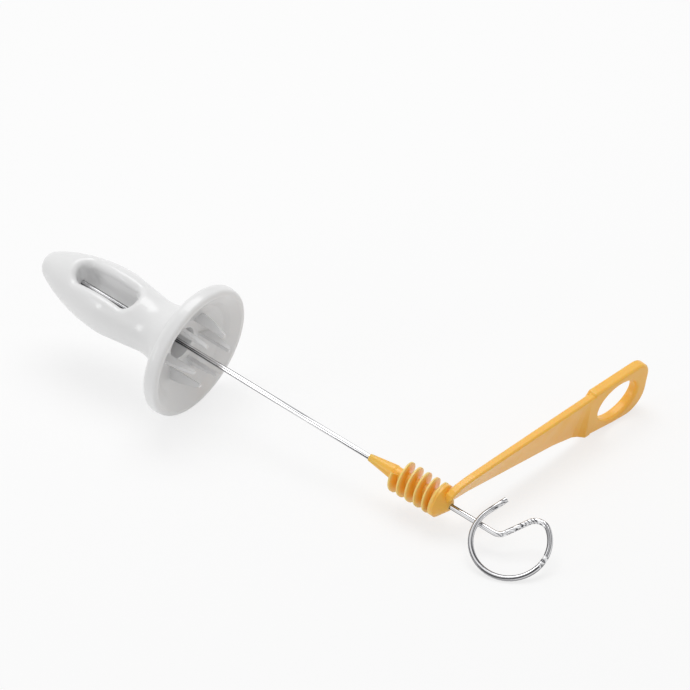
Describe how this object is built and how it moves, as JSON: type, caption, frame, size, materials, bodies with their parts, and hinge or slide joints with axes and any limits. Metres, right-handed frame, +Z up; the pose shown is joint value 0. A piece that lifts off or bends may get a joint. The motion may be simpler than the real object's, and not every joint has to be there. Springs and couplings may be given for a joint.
{
  "type": "spiral potato cutter",
  "caption": "Hand-cranked spiral potato cutter: a flared handle with gripping teeth, a looped wire skewer and a feed screw with a bladed crank arm.",
  "frame": {"origin": "middle of the tool's outline as it lies, at the height of the table it lies on", "axes": "+X from the handle to the skewer's loop, level with the table, +Y the way the crank arm points at rest, +Z up"},
  "size_m": [0.272, 0.1536, 0.0627],
  "materials": {
    "white_plastic": "glossy",
    "steel_wire": "polished",
    "orange_plastic": "satin"
  },
  "bodies": {
    "holder": {"holder": "white_plastic"},
    "skewer": {"skewer": "steel_wire"},
    "cutter": {"cutter": "orange_plastic"}
  },
  "joints": [
    {"name": "skewer_pull", "type": "slide", "parent": "holder", "child": "skewer", "axis": [0.9906, 0, -0.1367], "range_m": [0, 0.08]},
    {"name": "cutter_turn", "type": "hinge", "parent": "skewer", "child": "cutter", "pos_m": [0.08939, -0.04515, 0.01191], "axis": [0.9906, 0, -0.1367], "continuous": true}
  ]
}
